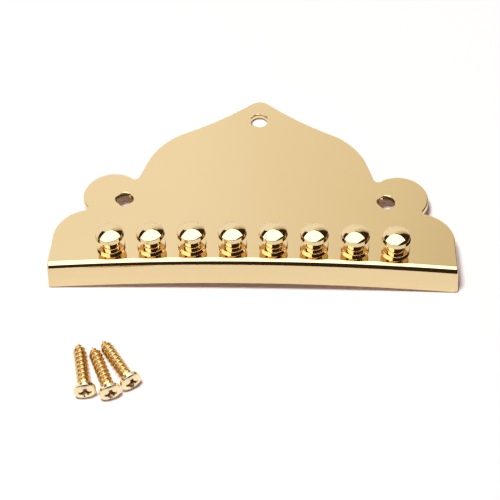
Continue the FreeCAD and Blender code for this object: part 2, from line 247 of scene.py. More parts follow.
class StudioSizes(bpy.types.PropertyGroup):
    """Camera, lamps, cards and floor."""

    azimuth: angle("Camera azimuth", "Right of the lip's front", 4.073)
    elevation: angle("Camera elevation", "Over the table", 55.862)
    roll: angle("Camera roll", "Turn of the picture", -2.629)
    distance: length("Camera distance", "From the table", 1000.0)
    aim_left: length("Aim left", "Of the part's middle, on the table", 0.948)
    aim_back: length("Aim back", "Of the part's middle, on the table", 0.320)
    focal: length("Focal length", "For a 36 mm frame", 339.8)
    floor: tint("Floor", "Plain white table", (0.86, 0.86, 0.86))
    # Painted light: a warm glow that the camera sees on the whole table, standing in for the light
    # off the gold in its shadows
    painted_table_glow: tint("Table glow", "Warm light off the gold in the table's shadows",
                     (0.105, 0.037, 0.030))
    key: number("Key light", "Light of the key on the table", 1.115)
    key_height: length("Key height", "Of the lamp that lights the table", 2600.0)
    key_left: length("Key left", "Of the part's middle", 360.0)
    key_ahead: length("Key ahead", "Of the part's middle", 260.0)
    key_size: length("Key size", "Side of the square lamp", 680.0)
    room: number("Room light", "Radiance of the white room", 0.1)
    overhead: number("Overhead light", "Radiance of the softbox above", 2.4)
    overhead_height: length("Overhead height", "Of the softbox", 1300.0)
    softbox: tint("Softbox", "Its white cloth", (1.0, 1.0, 1.0))
    reflector_away: length("Reflector distance", "From the part", 1800.0)
    reflector_light: number("Reflector light", "Radiance of its paper", 1.04)
    reflector: tint("Reflector", "White paper behind the part", (1.0, 1.0, 1.0))
    reflector_mid: tint("Reflector, mid", "Where it turns to the shade", (0.84, 0.81, 0.72))
    reflector_dim: tint("Reflector, right", "In the shade", (0.52, 0.45, 0.33))
    card_away: length("Card distance", "From the part", 2600.0)
    card: tint("Dark card", "Black flags behind the dark lines", (0.035, 0.022, 0.016))


class Build(bpy.types.PropertyGroup):
    """Everything that the sidebar shows."""

    sheet: PointerProperty(type=SheetSizes)
    posts: PointerProperty(type=PostSizes)
    screws: PointerProperty(type=ScrewSizes)
    finishes: PointerProperty(type=Finishes)
    studio: PointerProperty(type=StudioSizes)


class Socket:
    """A shader value. Python arithmetic on it adds Math nodes."""

    def __init__(self, shader, socket):
        self.shader = shader
        self.socket = socket

    def maths(self, operation, other):
        return self.shader.node("ShaderNodeMath", {"operation": operation},
                                {0: self, 1: other})["Value"]

    def __add__(self, other):
        return self.maths("ADD", other)

    def __sub__(self, other):
        return self.maths("SUBTRACT", other)

    def __mul__(self, other):
        return self.maths("MULTIPLY", other)


def find_socket(sockets, key):
    """A node's socket, by its number, identifier or name."""
    if isinstance(key, int):
        return sockets[key]
    for socket in sockets:
        if key in (socket.identifier, socket.name):
            return socket
    raise KeyError(key)


class Node:
    """A node whose outputs are picked by name."""

    def __init__(self, shader, node):
        self.shader = shader
        self.node = node

    def __getitem__(self, name):
        return Socket(self.shader, find_socket(self.node.outputs, name))


class Shader:
    """The node tree of one material or world."""

    def __init__(self, tree):
        self.tree = tree
        tree.nodes.clear()

    def node(self, kind, settings=None, values=None):
        """Adds a node, sets it up, then fills or links its sockets."""
        made = self.tree.nodes.new(kind)
        for name, value in (settings or {}).items():
            if name == "stops":
                self.set_stops(made.color_ramp, value)
            else:
                setattr(made, name, value)
        for key, value in (values or {}).items():
            socket = find_socket(made.inputs, key)
            if isinstance(value, Socket):
                self.tree.links.new(value.socket, socket)
            else:
                socket.default_value = value
        return Node(self, made)

    @staticmethod
    def set_stops(ramp, stops):
        while len(ramp.elements) < len(stops):
            ramp.elements.new(1.0)
        for element, (place, colour) in zip(ramp.elements, stops):
            element.position = place
            element.color = colour

    def mixed(self, factor, first, second):
        """Colours blended by a factor."""
        return self.node("ShaderNodeMix", {"data_type": "RGBA"},
                         {"Factor_Float": factor, "A_Color": first, "B_Color": second}
                         )["Result_Color"]

    def noise(self, place, scale, detail):
        return self.node("ShaderNodeTexNoise", None,
                         {"Vector": place, "Scale": scale, "Detail": detail})["Fac"]

    def glow(self, colour, radiance):
        return self.node("ShaderNodeEmission", None,
                         {"Color": colour, "Strength": radiance})["Emission"]

    def show(self, surface):
        self.node("ShaderNodeOutputMaterial", None, {"Surface": surface})

    def show_metal(self, colour, roughness, height, strength, distance):
        """Bare metal with a faint bump as the material's surface."""
        bump = self.node("ShaderNodeBump", None,
                         {"Height": height, "Strength": strength, "Distance": distance})
        metal = self.node("ShaderNodeBsdfPrincipled", None, {
            "Base Color": colour, "Metallic": 1.0, "Roughness": roughness,
            "Normal": bump["Normal"]})
        self.show(metal["BSDF"])


def opaque(colour):
    return (colour[0], colour[1], colour[2], 1.0)


def new_material(name):
    material = bpy.data.materials.new(name)
    material.use_nodes = True
    return material, Shader(material.node_tree)


def polished_gold(finishes):
    """Bright gold plate: a mirror with a faint haze and faint clouds in its tone."""
    material, shader = new_material("polished_gold")
    place = shader.node("ShaderNodeTexCoord")["Object"]
    clouds = shader.noise(place, scale=45.0, detail=2.0)
    haze = shader.noise(place, scale=260.0, detail=4.0)
    grain = shader.noise(place, scale=2400.0, detail=2.0)
    colour = shader.mixed(clouds, opaque(finishes.gold), opaque(finishes.warm_gold))
    shader.show_metal(colour, haze * finishes.haze + finishes.polish, grain,
                      strength=0.02, distance=0.00001)
    return material


def screw_gold(finishes):
    """Gold wash on a rolled thread: a paler head as painted light; painted shade and dullness in
    grooves and recess.
    """
    material, shader = new_material("screw_gold")
    place = shader.node("ShaderNodeTexCoord")["Object"]
    # How deep each point lies in a groove or the recess, which sets its painted shade
    depth = shader.node("ShaderNodeAttribute", {"attribute_name": "depth"})["Fac"]
    # 1 on the head, which takes the paler tone as painted light, and 0 on the shank
    pale = shader.node("ShaderNodeAttribute", {"attribute_name": "pale"})["Fac"]
    mottle = shader.noise(place, scale=900.0, detail=3.0)
    plating = shader.mixed(pale, opaque(finishes.screw_gold), opaque(finishes.screw_painted_pale))
    # Painted shade: darker the deeper the point lies, mottled
    dark = depth * (mottle * finishes.groove_mottle + finishes.groove_painted_shade)
    colour = shader.mixed(dark, plating, opaque(finishes.screw_painted_shade))
    rough = mottle * finishes.screw_mottle + depth * finishes.screw_dull
    shader.show_metal(colour, rough + finishes.screw_polish, mottle,
                      strength=0.15, distance=0.00003)
    return material


class Skin:
    """Points and faces, with the surface's own normal at every corner, so that the
    polish mirrors a true curve and not the mesh's facets."""

    def __init__(self):
        self.points = []
        self.faces = []
        self.normals = []

    def add(self, point):
        self.points.append(point)
        return len(self.points) - 1

    def face(self, corners, normals):
        """One face, turned so that it faces the way its normals do."""
        a, b, c = (self.points[index] for index in corners[:3])
        across = (b - a).cross(c - a)
        if across.dot(sum(normals, Vector())) < 0:
            corners = corners[::-1]
            normals = normals[::-1]
        self.faces.append(corners)
        self.normals.extend(normals)

    def strip(self, upper, lower):
        """Quads between two closed rings, or triangles where one ring is a point. A ring
        is its points' indices and their normals."""
        count = len(upper[0])
        for here in range(count):
            there = (here + 1) % count
            corners = [upper[0][here], upper[0][there], lower[0][there], lower[0][here]]
            normals = [upper[1][here], upper[1][there], lower[1][there], lower[1][here]]
            if corners[0] == corners[1]:
                corners, normals = corners[1:], normals[1:]
            elif corners[2] == corners[3]:
                corners, normals = corners[:3], normals[:3]
            self.face(corners, normals)

    def mesh(self, name):
        mesh = plain_mesh(name, self.points, self.faces)
        mesh.shade_smooth()
        mesh.normals_split_custom_set([normal.normalized() for normal in self.normals])
        mesh.update()
        return mesh


def plain_mesh(name, points, faces):
    mesh = bpy.data.meshes.new(name)
    mesh.from_pydata(points, [], faces)
    return mesh


def linked(name, data, matrix=Matrix.Identity(4)):
    """A new thing in the scene, at its place."""
    thing = bpy.data.objects.new(name, data)
    bpy.context.scene.collection.objects.link(thing)
    thing.matrix_world = matrix
    return thing


def add_piece(name, mesh, material, matrix, body, node):
    """Puts a mesh in the scene as the finished form of one CAD node."""
    mesh.materials.append(material)
    piece = linked(name, mesh, matrix)
    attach(piece, body)
    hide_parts(node)
    return piece


def flat(x, y):
    return Vector((x, y))


def meet(centre_a, reach_a, centre_b, reach_b):
    """Where two circles about a and b cross, to the right of the way from a to b."""
    line = centre_b - centre_a
    apart = line.length
    along = (reach_a ** 2 - reach_b ** 2 + apart ** 2) / (2 * apart)
    off = math.sqrt(reach_a ** 2 - along ** 2)
    ahead = line / apart
    return centre_a + ahead * along + flat(ahead.y, -ahead.x) * off


def towards(start, goal, reach):
    return start + (goal - start).normalized() * reach


def arc_points(centre, start, end, turns_left, step, fewest=3):
    """Points and outward normals along an arc, without its last point. A hollow arc,
    which turns right as the outline runs left about the sheet, faces its centre."""
    radius = (start - centre).length
    begin = math.atan2(start.y - centre.y, start.x - centre.x)
    finish = math.atan2(end.y - centre.y, end.x - centre.x)
    sweep = (finish - begin) % math.tau
    if not turns_left:
        sweep -= math.tau
    count = max(fewest, math.ceil(abs(sweep) * radius / step))
    facing = 1 if turns_left else -1
    found = []
    for index in range(count):
        bearing = begin + sweep * index / count
        out = flat(math.cos(bearing), math.sin(bearing))
        found.append((centre + out * radius, out * facing))
    return found


def line_points(start, end, step):
    """Points and outward normals along a straight stretch, without its last point."""
    way = end - start
    count = max(1, round(way.length / step))
    out = flat(way.y, -way.x).normalized()
    return [(start + way * (index / count), out) for index in range(count)]


class SheetForm:
    """The sheet's outer side, laid out flat. x runs across, and u runs from the tip side
    down to the fold, round it and down the lip, counted from the lip's face."""

    bend_rows = 14
    fine_step = 0.25 * MM
    grid_step = 2.0 * MM
    bend_stretch = 5.0

    def __init__(self, sizes):
        self.sizes = sizes
        self.cloud = math.sqrt(sizes.width * sizes.depth)
        self.half = sizes.width / 2
        self.fold = sizes.fold_radius
        self.bend_end = self.fold - self.fold * math.pi / 2
        self.lip_end = self.bend_end - (sizes.lip_height - self.fold)

    def section(self, u, depth):
        """The section's place and outward normal, at a depth under the outer side."""
        if u >= self.fold:
            return u, -depth, 0.0, 1.0
        if u <= self.bend_end:
            return depth, -self.fold - (self.bend_end - u), -1.0, 0.0
        bend = (self.fold - u) / self.fold
        reach = self.fold - depth
        return (self.fold - reach * math.sin(bend), reach * math.cos(bend) - self.fold,
                -math.sin(bend), math.cos(bend))

    def place(self, x, u, depth):
        y, height, _, _ = self.section(u, depth)
        radius = self.sizes.arch_radius
        return Vector((x, y, math.sqrt((radius + height) ** 2 - x ** 2) - radius))

    def lean(self, x):
        """The arch's lean to the side, at a distance from the middle."""
        return math.asin(x / self.sizes.arch_radius)

    def directions(self, x, u):
        """Outward, sideways and along the section, as three directions."""
        _, _, across, up = self.section(u, 0.0)
        lean = self.lean(x)
        out = Vector((up * math.sin(lean), across, up * math.cos(lean)))
        side = Vector((math.cos(lean), 0.0, -math.sin(lean)))
        along = Vector((-across * math.sin(lean), up, -across * math.cos(lean)))
        return out, side, along

    def rim_normal(self, x, u, outward, turn):
        """The normal on the rounded rim: 0 on the outer side, a quarter turn on the wall."""
        out, side, along = self.directions(x, u)
        wall = side * outward.x + along * outward.y
        return out * math.cos(turn) + wall * math.sin(turn)

    def outline(self):
        """The sheet's rim as a closed loop of flat points and outward normals."""
        s = self.sizes
        shoulder = flat(s.width * s.shoulder_x, s.depth * s.shoulder_y)
        shoulder_radius = self.cloud * s.shoulder_radius
        lobe = flat(s.width * s.lobe_x, s.depth * s.lobe_y)
        lobe_radius = self.cloud * s.lobe_radius
        dome = flat(s.width * s.dome_x, s.depth * s.dome_y)
        dome_radius = self.cloud * s.dome_radius
        sweep_radius = self.cloud * s.sweep_radius
        tip_radius = self.cloud * s.tip_radius
        low_notch = self.cloud * s.low_notch
        high_notch = self.cloud * s.high_notch
        tip_centre = flat(0, s.depth - tip_radius)
        corner = flat(self.half, 0)

        reach = math.sqrt((corner - shoulder).length ** 2 - shoulder_radius ** 2)
        side_end = meet(corner, reach, shoulder, shoulder_radius)
        low = meet(shoulder, shoulder_radius + low_notch, lobe, lobe_radius + low_notch)
        low_start = towards(shoulder, low, shoulder_radius)
        low_end = towards(lobe, low, lobe_radius)

        normal = flat(math.cos(s.flank_lean), math.sin(s.flank_lean))
        flank_top = dome + normal * dome_radius
        beside = flank_top + normal * high_notch
        foot = lobe - normal * (lobe - beside).dot(normal)
        rise = math.sqrt((lobe_radius + high_notch) ** 2 - (foot - lobe).length ** 2)
        high = foot + flat(-normal.y, normal.x) * rise
        high_start = towards(lobe, high, lobe_radius)
        high_end = high - normal * (high - flank_top).dot(normal)

        sweep = meet(dome, dome_radius + sweep_radius, tip_centre, tip_radius + sweep_radius)
        sweep_start = towards(dome, sweep, dome_radius)
        sweep_end = towards(tip_centre, sweep, tip_radius)

        corner_radius = s.corner_radius
        corner_centre = flat(self.half - corner_radius, self.lip_end + corner_radius)
        corner_low = flat(corner_centre.x, self.lip_end)
        corner_side = flat(self.half, corner_centre.y)
        bend_low = flat(self.half, self.bend_end)
        bend_high = flat(self.half, self.fold)
        bend_step = (self.fold - self.bend_end) / self.bend_rows
        fine = self.fine_step
        right = line_points(flat(0, self.lip_end), corner_low, self.grid_step)
        right += arc_points(corner_centre, corner_low, corner_side, True, fine)
        right += line_points(corner_side, bend_low, self.grid_step / 2)
        right += line_points(bend_low, bend_high, bend_step)
        right += line_points(bend_high, side_end, self.grid_step / 2)
        right += arc_points(shoulder, side_end, low_start, True, fine)
        right += arc_points(low, low_start, low_end, False, fine / 2)
        right += arc_points(lobe, low_end, high_start, True, fine)
        right += arc_points(high, high_start, high_end, False, fine / 2)
        right += line_points(high_end, flank_top, fine)
        right += arc_points(dome, flank_top, sweep_start, True, fine * 2)
        right += arc_points(sweep, sweep_start, sweep_end, False, fine * 2)
        right += arc_points(tip_centre, sweep_end, flat(0, s.depth), True, fine)
        right.append((flat(0, s.depth), flat(0, 1)))
        left = [(flat(-point.x, point.y), flat(-out.x, out.y))
                for point, out in right[-2:0:-1]]
        return right + left

    def hole_centres(self):
        s = self.sizes
        radius = self.cloud * s.lobe_radius
        along = s.width * s.lobe_x - radius * s.hole_in
        x = s.arch_radius * math.sin(along / s.arch_radius)
        back = s.depth * s.lobe_y - radius * s.hole_down
        return [flat(-x, back), flat(x, back), flat(0, s.depth - s.tip_hole_inset)]

    def hole_loop(self, centre):
        """A hole's rim as a closed loop; its normals face the hole's middle."""
        radius = self.sizes.hole / 2
        loop = []
        for index in range(HOLE_SEGMENTS):
            bearing = math.tau * index / HOLE_SEGMENTS
            way = flat(math.cos(bearing), math.sin(bearing))
            loop.append((centre + way * radius, -way))
        return loop

    def flatten(self, x, u):
        """A flat point, stretched over the bend so that its triangles come out even."""
        if u >= self.fold:
            return flat(x, u)
        if u >= self.bend_end:
            return flat(x, self.fold + (u - self.fold) * self.bend_stretch)
        end = self.fold + (self.bend_end - self.fold) * self.bend_stretch
        return flat(x, end + u - self.bend_end)

    def rows(self):
        """The heights of the grid's rows, from the lip's edge to the tip."""
        step = self.grid_step / 2
        rows = [self.lip_end + step * index
                for index in range(1, round((self.bend_end - self.lip_end) / step))]
        rows += [self.bend_end + (self.fold - self.bend_end) * index / self.bend_rows
                 for index in range(self.bend_rows + 1)]
        count = int((self.sizes.depth - self.fold) / self.grid_step)
        rows += [self.fold + self.grid_step * (index + 1) for index in range(count)]
        return rows

    def inner_grid(self, rim):
        """Grid points that lie well inside the rim and outside the holes."""
        clear = self.grid_step / 4
        columns = int(self.half / self.grid_step)
        rims = [self.flatten(*point) for point in rim]
        found = []
        for u in self.rows():
            spans = crossings(rims, self.flatten(0, u).y)
            for index in range(-columns, columns + 1):
                x = index * self.grid_step
                inside = any(low + clear < x < high - clear for low, high in spans)
                open_hole = any((flat(x, u) - centre).length < self.sizes.hole / 2 + clear
                                for centre in self.hole_centres())
                if inside and not open_hole and u < self.sizes.depth - clear:
                    found.append((x, u))
        return found


def crossings(loop, level):
    """The stretches of a level line that lie inside a closed loop."""
    cuts = []
    for here, there in zip(loop, loop[1:] + loop[:1]):
        if (here.y > level) != (there.y > level):
            part = (level - here.y) / (there.y - here.y)
            cuts.append(here.x + (there.x - here.x) * part)
    cuts.sort()
    return list(zip(cuts[::2], cuts[1::2]))


def fill_side(form, skin, rims, depth, facing):
    """Triangles over one side of the sheet, between its rim and its holes. Each rim is
    its flat points and their indices."""
    flats = [point for loop, _ in rims for point in loop]
    known = [index for _, indices in rims for index in indices]
    extra = form.inner_grid(rims[0][0])
    points = [form.flatten(x, u) for x, u in flats + extra]
    edges = []
    start = 0
    for loop, _ in rims:
        count = len(loop)
        edges += [(start + index, start + (index + 1) % count) for index in range(count)]
        start += count
    outer = list(range(len(rims[0][0])))
    found = delaunay_2d_cdt(points, edges, [outer], 1, TINY)
    corners = {}
    for index, origins in enumerate(found[3]):
        origin = origins[0]
        x, u = (flats + extra)[origin]
        at = known[origin] if origin < len(known) else skin.add(form.place(x, u, depth))
        corners[index] = (at, form.directions(x, u)[0] * facing, flat(x, u))
    radius = form.sizes.hole / 2
    holes = form.hole_centres()
    for triangle in found[2]:
        middle = sum((corners[index][2] for index in triangle), flat(0, 0)) / 3
        if all((middle - centre).length > radius for centre in holes):
            skin.face([corners[index][0] for index in triangle],
                      [corners[index][1] for index in triangle])


def rim_rows(form, skin, loop, lean):
    """The rounded rim and the wall below it. Returns the flat points and the indices of
    the row on the outer side and of the row at the back."""
    rounding = form.sizes.rounding
    rows = []
    for step in range(RIM_STEPS + 1):
        turn = math.pi / 2 * step / RIM_STEPS
        rows.append((rounding * (1 - math.sin(turn)), rounding * (1 - math.cos(turn)), turn))
    rows.append((0.0, form.sizes.thickness, math.pi / 2))
    made = []
    for inset, depth, turn in rows:
        flats = [(point.x - out.x * inset - lean * depth, point.y - out.y * inset)
                 for point, out in loop]
        indices = [skin.add(form.place(x, u, depth)) for x, u in flats]
        normals = [form.rim_normal(point.x, point.y, out, turn) for point, out in loop]
        made.append((flats, indices, normals))
    for upper, lower in zip(made, made[1:]):
        skin.strip(upper[1:], lower[1:])
    return made[0][:2], made[-1][:2]


def sheet_mesh(form):
    """The whole sheet: outer side, rounded rims, walls, hole walls and back."""
    skin = Skin()
    rims = [rim_rows(form, skin, form.outline(), 0.0)]
    for centre in form.hole_centres():
        rims.append(rim_rows(form, skin, form.hole_loop(centre), form.lean(centre.x)))
    fill_side(form, skin, [front for front, _ in rims], 0.0, 1)
    fill_side(form, skin, [back for _, back in rims], form.sizes.thickness, -1)
    return skin.mesh("base_plate_skin")


def rest_tilt(sizes):
    """How far the sheet leans back on the lip's lower corners and its tip."""
    corner_x = sizes.width / 2 - sizes.corner_radius
    reach = sizes.arch_radius - sizes.lip_height + sizes.corner_radius
    corner_z = math.sqrt(reach ** 2 - corner_x ** 2) - sizes.arch_radius
    drop = sizes.corner_radius - sizes.thickness - corner_z
    return math.atan2(drop, sizes.depth - sizes.thickness)


def seat_matrix(mesh, sizes):
    """Where the sheet rests: leaned back, then moved until it fills its own CAD box."""
    lean = Matrix.Rotation(-rest_tilt(sizes), 4, "X")
    placed = [lean @ vertex.co for vertex in mesh.vertices]
    low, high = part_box("base_plate")
    shift = Vector((0.0, high.y - max(point.y for point in placed),
                    low.z - min(point.z for point in placed)))
    return Matrix.Translation(shift) @ lean


def curve(centre, radius, start, end, steps):
    """A profile's arc: places in the half plane and normals away from the centre."""
    found = []
    for step in range(steps + 1):
        bearing = start + (end - start) * step / steps
        way = flat(math.cos(bearing), math.sin(bearing))
        found.append((centre + way * radius, way))
    return found


def hollow(stretch):
    """The same arc seen from inside, for a fillet."""
    return [(place, -way) for place, way in stretch]


def run(start, end):
    """A profile's straight stretch, with its normal to the right of its way."""
    way = (end - start).normalized()
    out = flat(way.y, -way.x)
    return [(start, out), (end, out)]


def dome_ball(radius, rise):
    """The ball's radius under a dome of a radius and a rise."""
    return (radius ** 2 + rise ** 2) / (2 * rise)


def crown_profile(radius, bottom, top, ball, rounding, draft):
    """A head from under its widest edge, up its leaning side, to the middle of its dome."""
    lower = flat(radius - rounding, bottom + rounding)
    centre = flat(0, top - ball)
    out = flat(math.cos(draft), math.sin(draft))
    up = flat(-out.y, out.x)
    off = lower - centre
    ahead = off.dot(up)
    climb = math.sqrt(ahead ** 2 - off.dot(off) + (ball - rounding) ** 2) - ahead
    upper = lower + up * climb
    slope = math.atan2(upper.y - centre.y, upper.x)
    return [
        curve(lower, rounding, -math.pi / 2, draft, EDGE_STEPS),
        run(lower + out * rounding, upper + out * rounding),
        curve(upper, rounding, draft, slope, SLIGHT_EDGE_STEPS),
        curve(centre, ball, slope, math.pi / 2, DOME_STEPS),
    ]


def turned_skin(stretches, segments):
    """A turned piece's skin. Stretches share their end points but keep their own
    normals, so that a sharp edge stays sharp."""
    skin = Skin()
    last_spot = None
    last_indices = []
    for stretch in stretches:
        rings = []
        for place, out in stretch:
            spot = (round(place.x, DECIMALS), round(place.y, DECIMALS))
            if spot != last_spot:
                if place.x < TINY:
                    last_indices = [skin.add(Vector((0, 0, place.y)))] * segments
                else:
                    last_indices = [skin.add(point) for point in spun(place, segments)]
                last_spot = spot
            rings.append((last_indices, spun(out, segments)))
        for upper, lower in zip(rings, rings[1:]):
            skin.strip(upper, lower)
    return skin


def spun(place, segments):
    """A profile's place turned into a ring."""
    ring = []
    for index in range(segments):
        bearing = math.tau * index / segments
        ring.append(Vector((place.x * math.cos(bearing), place.x * math.sin(bearing), place.y)))
    return ring


def post_mesh(posts, thickness):
    """One turned post with its rivet: tail, shank, collar, neck and button head."""
    neck = posts.neck / 2
    foot = neck + posts.fillet
    shank = posts.rivet / 2
    tail = posts.tail / 2
    collar = posts.collar / 2
    collar_top = posts.collar_height
    edge = flat(collar - posts.collar_rounding, collar_top - posts.collar_rounding)
    tail_top = -thickness - posts.seat
    tail_edge = tail_top - posts.tail_edge
    ball = dome_ball(tail, posts.tail_dome)
    tail_centre = flat(0, tail_edge - posts.tail_dome + ball)
    slope = -math.acos(tail / ball)
    fillet = flat(foot, collar_top + posts.fillet)
    head_edge = flat(posts.head / 2 - posts.rounding, posts.under_head)
    stretches = [
        curve(tail_centre, ball, -math.pi / 2, slope, EDGE_STEPS),
        run(flat(tail, tail_edge), flat(tail, tail_top)),
        run(flat(tail, tail_top), flat(shank, tail_top)),
        run(flat(shank, tail_top), flat(shank, 0)),
        run(flat(shank, 0), flat(collar, 0)),
        run(flat(collar, 0), flat(collar, edge.y)),
        curve(edge, posts.collar_rounding, 0.0, math.pi / 2, SLIGHT_EDGE_STEPS),
        run(flat(edge.x, collar_top), flat(foot, collar_top)),
        hollow(curve(fillet, posts.fillet, -math.pi / 2, -math.pi, EDGE_STEPS)),
        run(flat(neck, fillet.y), flat(neck, posts.under_head)),
        run(flat(neck, posts.under_head), head_edge),
    ]
    top = posts.under_head + posts.head_height
    stretches += crown_profile(posts.head / 2, posts.under_head, top, posts.dome_radius,
                               posts.rounding, posts.draft)
    return turned_skin(stretches, POST_SEGMENTS).mesh("hitch_post_skin")


def post_matrix(sheet, posts, index):
    """A post's place on the arched sheet, square to it."""
    along = (index - (posts.count - 1) / 2) * posts.pitch
    turn = along / sheet.arch_radius
    axis = Matrix.Translation((0, posts.inset, -sheet.arch_radius))
    return axis @ Matrix.Rotation(turn, 4, "Y") @ Matrix.Translation((0, 0, sheet.arch_radius))


def thread_radius(screws, bearing, height):
    """The shank's radius at a bearing and a height, and how deep in the thread that is."""
    crest = screws.thread / 2
    core = crest - screws.depth
    from_tip = height + screws.length
    half_crest = screws.crest / 2
    flank = math.tan(screws.flank / 2)
    turn = (from_tip / screws.pitch - bearing / math.tau) % 1.0
    off = abs(turn - 0.5) * screws.pitch
    ridge = crest - max(0.0, off - half_crest) / flank
    if height > -screws.start:
        ridge = min(ridge, core - screws.depth * height / screws.start)
    neck_share = (height + screws.neck_length + screws.depth) / screws.depth
    neck_share = min(1.0, max(0.0, neck_share))
    radius = max(core, ridge, core + (screws.neck / 2 - core) * neck_share)
    tip = screws.point_flat / 2
    thread_taper = tip + (crest - tip) * from_tip / (screws.point * screws.point_thread)
    core_taper = tip + (core - tip) * from_tip / screws.point
    radius = min(radius, thread_taper)
    floor = min(core, core_taper)
    if from_tip < screws.point:
        ridge_left = max(0.0, ridge - core)
        radius = min(thread_taper, floor + ridge_left)
    return max(radius, tip), (1.0 - (radius - floor) / screws.depth) * (1.0 - neck_share)


def shank_mesh(screws):
    """The threaded shank, from its blunt end to the head's under side."""
    segments = SHANK_SEGMENTS
    count = round(screws.length / screws.pitch * ROWS_PER_PITCH)
    points = []
    painted_shades = []
    for row in range(count + 1):
        height = -screws.length + screws.length * row / count
        for index in range(segments):
            bearing = math.tau * index / segments
            radius, depth = thread_radius(screws, bearing, height)
            points.append((radius * math.cos(bearing), radius * math.sin(bearing), height))
            # Painted shade, by how deep the point lies in the thread
            painted_shades.append(max(0.0, min(1.0, depth)) * THREAD_PAINTED_SHADE)
    faces = [list(range(segments))[::-1]]
    for row in range(count):
        for index in range(segments):
            there = (index + 1) % segments
            low = row * segments
            high = low + segments
            faces.append([low + index, low + there, high + there, high + index])
    faces.append([count * segments + index for index in range(segments)])
    mesh = plain_mesh("screw_shank", points, faces)
    mesh.shade_smooth()
    mark_shades(mesh, painted_shades, 0.0)
    return mesh


def mark_shades(mesh, painted_shades, pale):
    """Stores each point's painted shade, by its depth, and its painted light, for the plating's
    tone.
    """
    for name, values in (("depth", painted_shades), ("pale", [pale] * len(painted_shades))):
        layer = mesh.attributes.new(name, "FLOAT", "POINT")
        layer.data.foreach_set("value", values)


def head_mesh(screws):
    """The screw's domed head, before its recess is cut."""
    radius = screws.head / 2
    stretches = [run(flat(0, 0), flat(radius - screws.rounding, 0))]
    stretches += crown_profile(radius, 0.0, screws.edge + screws.rise,
                               dome_ball(radius, screws.rise), screws.rounding, 0.0)
    return turned_skin(stretches, SCREW_SEGMENTS).mesh("screw_head")


def cutter_section(screws, foot, wide):
    """A cutter's half width at its floor and its mouth, and the two heights. Its mouth
    is as far over the head as the head's rise."""
    top = screws.edge + screws.rise
    slope = (wide - foot) / 2 / screws.recess_depth
    return foot / 2, wide / 2 + slope * screws.rise, top - screws.recess_depth, top + screws.rise


def recess_mesh(screws):
    """The cutter for one bar of the cross."""
    foot, wide, floor, mouth = cutter_section(screws, screws.recess_foot, screws.recess)
    arm = screws.recess_arm / 2
    corners = [(-foot, floor), (foot, floor), (wide, mouth), (-wide, mouth)]
    points = [(x, side, z) for side in (-arm, arm) for x, z in corners]
    faces = [[0, 1, 2, 3], [7, 6, 5, 4], [4, 5, 1, 0], [5, 6, 2, 1], [6, 7, 3, 2], [7, 4, 0, 3]]
    return plain_mesh("recess_arm", points, faces)


def well_mesh(screws):
    """The cutter's round middle."""
    foot, wide, floor, mouth = cutter_section(screws, screws.well_foot, screws.recess_well)
    return turned_skin([run(flat(0, floor), flat(foot, floor)),
                        run(flat(foot, floor), flat(wide, mouth)),
                        run(flat(wide, mouth), flat(0, mouth))], WELL_SEGMENTS).mesh("recess_well")


def finished_mesh(thing, name):
    """A thing's mesh with its modifiers applied. The thing itself goes."""
    bpy.context.view_layer.update()
    graph = bpy.context.evaluated_depsgraph_get()
    mesh = bpy.data.meshes.new_from_object(thing.evaluated_get(graph))
    mesh.name = name
    bpy.data.objects.remove(thing)
    return mesh


def cut_head(screws):
    """The head with its cross recess, softened along the recess's rims."""
    head = linked("head", head_mesh(screws))
    closed = head.modifiers.new("closed", "WELD")
    closed.merge_threshold = screws.rounding * WELD_SHARE
    arm = recess_mesh(screws)
    quarter_turn = Matrix.Rotation(math.pi / 2, 4, "Z")
    cutters = [linked("arm", arm), linked("cross_arm", arm.copy(), quarter_turn),
               linked("well", well_mesh(screws))]
    for cutter in cutters:
        cut = head.modifiers.new("recess", "BOOLEAN")
        cut.operation = "DIFFERENCE"
        cut.solver = "EXACT"
        cut.object = cutter
    bevel = head.modifiers.new("rim", "BEVEL")
    bevel.width = screws.rounding / RIM_PARTS
    bevel.segments = RIM_SEGMENTS
    bevel.limit_method = "ANGLE"
    mesh = finished_mesh(head, "screw_head_cut")
    for cutter in cutters:
        bpy.data.objects.remove(cutter)
    mesh.shade_smooth()
    mesh.set_sharp_from_angle(angle=math.radians(SHARP_DEGREES))
    # Painted shade in the recess, darker the deeper its walls lie under the dome
    painted_shades = []
    ball = dome_ball(screws.head / 2, screws.rise)
    centre = screws.edge + screws.rise - ball
    for vertex in mesh.vertices:
        reach = math.hypot(vertex.co.x, vertex.co.y)
        skin = centre + math.sqrt(max(0.0, ball ** 2 - reach ** 2))
        sunk = (skin - vertex.co.z - screws.rounding) / (screws.rise * DARK_SHARE)
        in_recess = reach < screws.recess / 2 and vertex.co.z > 0
        painted_shades.append(min(1.0, max(0.0, sunk)) if in_recess else 0.0)
    # The whole head takes the paler tone, as painted light
    mark_shades(mesh, painted_shades, 1.0)
    return mesh


def joined_mesh(meshes, name):
    """Several meshes as one, for one piece of metal."""
    things = [linked(mesh.name, mesh) for mesh in meshes]
    with bpy.context.temp_override(active_object=things[0], selected_editable_objects=things):
        bpy.ops.object.join()
    mesh = things[0].data
    mesh.name = name
    bpy.data.objects.remove(things[0])
    return mesh


def screw_places(screws):
    """Each loose screw's place under its head and its turn, fanned out from the tips."""
    turn = screws.turn
    away = Vector((math.sin(turn), -math.cos(turn), 0))
    right = Vector((math.cos(turn), math.sin(turn), 0))
    middle = Vector((-screws.left, -screws.ahead, 0)) + away * screws.length
    taper = screws.point * screws.point_thread
    mixed = (screws.head + screws.thread) / 2
    rows = [
        ("left", -1, mixed + screws.left_head_gap, screws.thread + screws.left_thread_gap,
         screws.left_back),
        ("middle", 0, 0.0, 0.0, 0.0),
        ("right", 1, screws.head + screws.right_head_gap,
         screws.thread + screws.right_thread_gap, screws.right_back),
    ]
    found = []
    for name, side, at_head, at_point, back in rows:
        splay = side * math.atan2(at_head - at_point, screws.length - taper - back)
        spot = middle + right * (side * at_head) - away * back
        found.append((name, spot, turn + splay))
    return found


